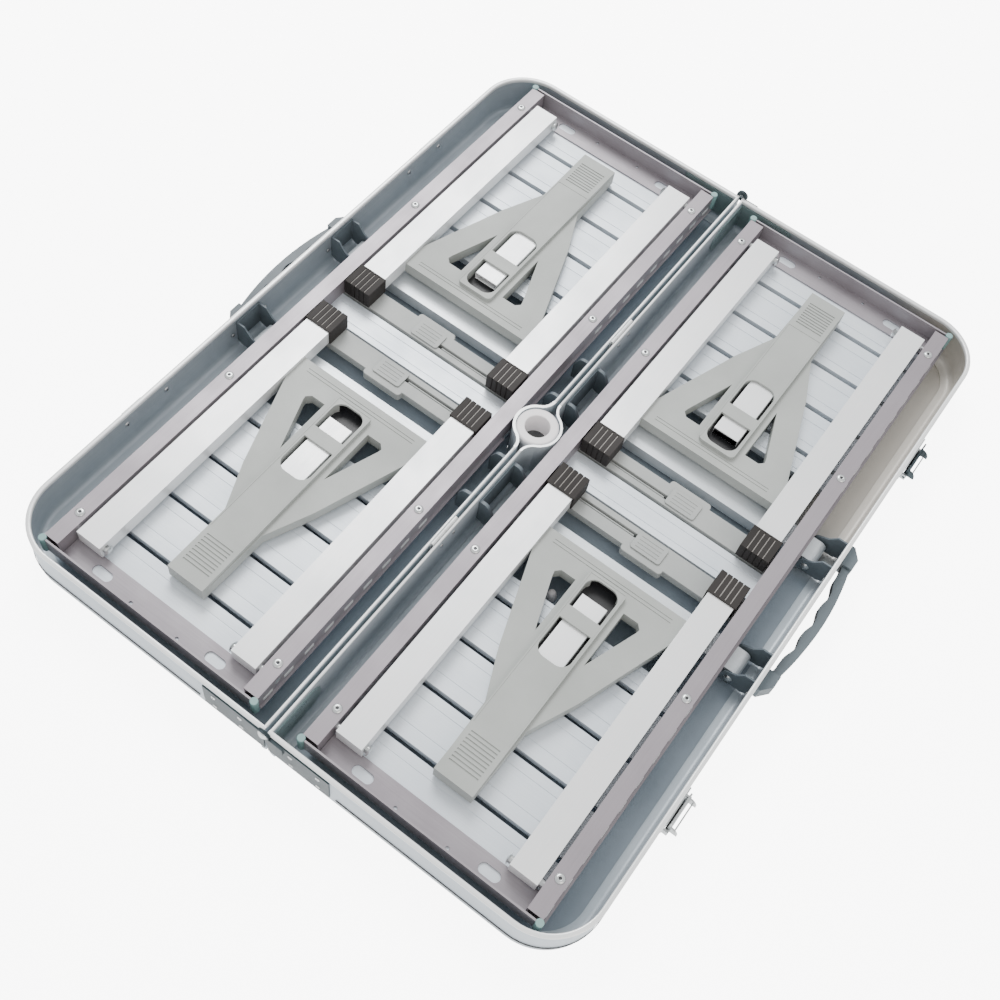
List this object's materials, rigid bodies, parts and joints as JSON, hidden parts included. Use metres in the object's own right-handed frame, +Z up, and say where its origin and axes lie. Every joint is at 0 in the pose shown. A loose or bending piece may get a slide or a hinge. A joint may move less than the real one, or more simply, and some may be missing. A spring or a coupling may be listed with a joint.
{
  "type": "folding table",
  "caption": "Suitcase-type folding table lying open and flat, with a folding bench, legs and swing arms stowed in each tray.",
  "frame": {"origin": "centre of the umbrella hole at the level of the table-top faces, which the open case lies on", "axes": "+Y along the hinge line, +X across it towards the tray with the latch levers, +Z up into the open trays"},
  "size_m": [0.71, 0.8678, 0.0621],
  "materials": {
    "anodised_grey": "satin anodised extrusion",
    "table_top": "satin composite board",
    "bracket_grey": "fine moulded texture",
    "white_plastic": "satin",
    "white_enamel": "satin",
    "steel": "plated",
    "dark_plate": "satin",
    "clear_plate": "translucent plastic",
    "handle_plastic": "fine moulded texture",
    "rail_taupe": "satin anodised extrusion",
    "slat_blue": "satin anodised extrusion",
    "housing_grey": "fine moulded texture",
    "tube_white": "bright satin extrusion",
    "foot_rubber": "ribbed",
    "brace_grey": "fine moulded texture"
  },
  "bodies": {
    "case_left": {"case_frame_left": "anodised_grey", "table_panel_left": "table_top", "arm_brackets_left": "bracket_grey", "cradle_brackets_left": "bracket_grey", "umbrella_collar": "white_plastic", "hinge_leaves_left": "white_enamel", "hinge_pins": "steel", "end_hinge_plates_left": "dark_plate", "end_hinge_pins": "steel", "corner_plates_left": "clear_plate", "handle_blocks_left": "handle_plastic", "latch_catches": "steel", "arm_pins_left": "steel"},
    "case_right": {"case_frame_right": "anodised_grey", "table_panel_right": "table_top", "arm_brackets_right": "bracket_grey", "cradle_brackets_right": "bracket_grey", "hinge_leaves_right": "white_enamel", "end_hinge_plates_right": "dark_plate", "corner_plates_right": "clear_plate", "handle_blocks_right": "handle_plastic", "latch_plates": "steel", "arm_pins_right": "steel"},
    "arms_left": {"arms_left": "tube_white"},
    "bench_left": {"bench_rails_left": "rail_taupe", "seat_slats_left": "slat_blue", "bench_plates_left": "rail_taupe", "lock_housings_left": "housing_grey", "bench_trim_left": "steel"},
    "leg_left_front": {"leg_tubes_left_front": "tube_white", "leg_feet_left_front": "foot_rubber", "leg_brace_left_front": "brace_grey"},
    "bolt_left_front": {"lock_bolt_left_front": "tube_white"},
    "slider_left_front": {"lock_slider_left_front": "housing_grey"},
    "leg_left_back": {"leg_tubes_left_back": "tube_white", "leg_feet_left_back": "foot_rubber", "leg_brace_left_back": "brace_grey"},
    "bolt_left_back": {"lock_bolt_left_back": "tube_white"},
    "slider_left_back": {"lock_slider_left_back": "housing_grey"},
    "handle_left": {"handle_grip_left": "handle_plastic"},
    "arms_right": {"arms_right": "tube_white"},
    "bench_right": {"bench_rails_right": "rail_taupe", "seat_slats_right": "slat_blue", "bench_plates_right": "rail_taupe", "lock_housings_right": "housing_grey", "bench_trim_right": "steel"},
    "leg_right_front": {"leg_tubes_right_front": "tube_white", "leg_feet_right_front": "foot_rubber", "leg_brace_right_front": "brace_grey"},
    "bolt_right_front": {"lock_bolt_right_front": "tube_white"},
    "slider_right_front": {"lock_slider_right_front": "housing_grey"},
    "leg_right_back": {"leg_tubes_right_back": "tube_white", "leg_feet_right_back": "foot_rubber", "leg_brace_right_back": "brace_grey"},
    "bolt_right_back": {"lock_bolt_right_back": "tube_white"},
    "slider_right_back": {"lock_slider_right_back": "housing_grey"},
    "handle_right": {"handle_grip_right": "handle_plastic"},
    "latch_front": {"latch_lever_front": "steel"},
    "latch_back": {"latch_lever_back": "dark_plate"}
  },
  "joints": [
    {"name": "case_fold", "type": "hinge", "parent": "case_left", "child": "case_right", "pos_m": [0, 0, 0.05515], "axis": [0, -1, 0], "range_deg": [0, 180]},
    {"name": "arm_swing_left", "type": "hinge", "parent": "case_left", "child": "arms_left", "pos_m": [-0.307, 0, 0.019], "axis": [0, 1, 0], "range_deg": [-108, 0]},
    {"name": "bench_level_left", "type": "hinge", "parent": "arms_left", "child": "bench_left", "pos_m": [-0.043, 0, 0.019], "axis": [0, 1, 0], "range_deg": [0, 108]},
    {"name": "leg_fold_left_front", "type": "hinge", "parent": "bench_left", "child": "leg_left_front", "pos_m": [-0.161, -0.38, 0.043], "axis": [-1, 0, 0], "range_deg": [-90, 0]},
    {"name": "bolt_slide_left_front", "type": "slide", "parent": "leg_left_front", "child": "bolt_left_front", "axis": [0, 1, 0], "range_m": [0, 0.012]},
    {"name": "lock_slide_left_front", "type": "slide", "parent": "bench_left", "child": "slider_left_front", "axis": [1, 0, 0], "range_m": [0, 0.012]},
    {"name": "leg_fold_left_back", "type": "hinge", "parent": "bench_left", "child": "leg_left_back", "pos_m": [-0.161, 0.38, 0.043], "axis": [1, 0, 0], "range_deg": [-90, 0]},
    {"name": "bolt_slide_left_back", "type": "slide", "parent": "leg_left_back", "child": "bolt_left_back", "axis": [0, -1, 0], "range_m": [0, 0.012]},
    {"name": "lock_slide_left_back", "type": "slide", "parent": "bench_left", "child": "slider_left_back", "axis": [1, 0, 0], "range_m": [0, 0.012]},
    {"name": "handle_swing_left", "type": "hinge", "parent": "case_left", "child": "handle_left", "pos_m": [-0.3425, 0, 0.033], "axis": [0, -1, 0], "range_deg": [-80, 0]},
    {"name": "arm_swing_right", "type": "hinge", "parent": "case_right", "child": "arms_right", "pos_m": [0.307, 0, 0.019], "axis": [0, -1, 0], "range_deg": [-108, 0]},
    {"name": "bench_level_right", "type": "hinge", "parent": "arms_right", "child": "bench_right", "pos_m": [0.043, 0, 0.019], "axis": [0, -1, 0], "range_deg": [0, 108]},
    {"name": "leg_fold_right_front", "type": "hinge", "parent": "bench_right", "child": "leg_right_front", "pos_m": [0.161, -0.38, 0.043], "axis": [-1, 0, 0], "range_deg": [-90, 0]},
    {"name": "bolt_slide_right_front", "type": "slide", "parent": "leg_right_front", "child": "bolt_right_front", "axis": [0, 1, 0], "range_m": [0, 0.012]},
    {"name": "lock_slide_right_front", "type": "slide", "parent": "bench_right", "child": "slider_right_front", "axis": [-1, 0, 0], "range_m": [0, 0.012]},
    {"name": "leg_fold_right_back", "type": "hinge", "parent": "bench_right", "child": "leg_right_back", "pos_m": [0.161, 0.38, 0.043], "axis": [1, 0, 0], "range_deg": [-90, 0]},
    {"name": "bolt_slide_right_back", "type": "slide", "parent": "leg_right_back", "child": "bolt_right_back", "axis": [0, -1, 0], "range_m": [0, 0.012]},
    {"name": "lock_slide_right_back", "type": "slide", "parent": "bench_right", "child": "slider_right_back", "axis": [-1, 0, 0], "range_m": [0, 0.012]},
    {"name": "handle_swing_right", "type": "hinge", "parent": "case_right", "child": "handle_right", "pos_m": [0.3425, 0, 0.033], "axis": [0, 1, 0], "range_deg": [-80, 0]},
    {"name": "latch_front", "type": "hinge", "parent": "case_right", "child": "latch_front", "pos_m": [0.3397, -0.247, 0.024], "axis": [0, 1, 0], "range_deg": [0, 90]},
    {"name": "latch_back", "type": "hinge", "parent": "case_right", "child": "latch_back", "pos_m": [0.3397, 0.247, 0.024], "axis": [0, 1, 0], "range_deg": [0, 90]}
  ],
  "couplings": [
    {"joint": "bench_level_left", "follows": "arm_swing_left", "ratio": -1},
    {"joint": "bench_level_right", "follows": "arm_swing_right", "ratio": -1}
  ]
}
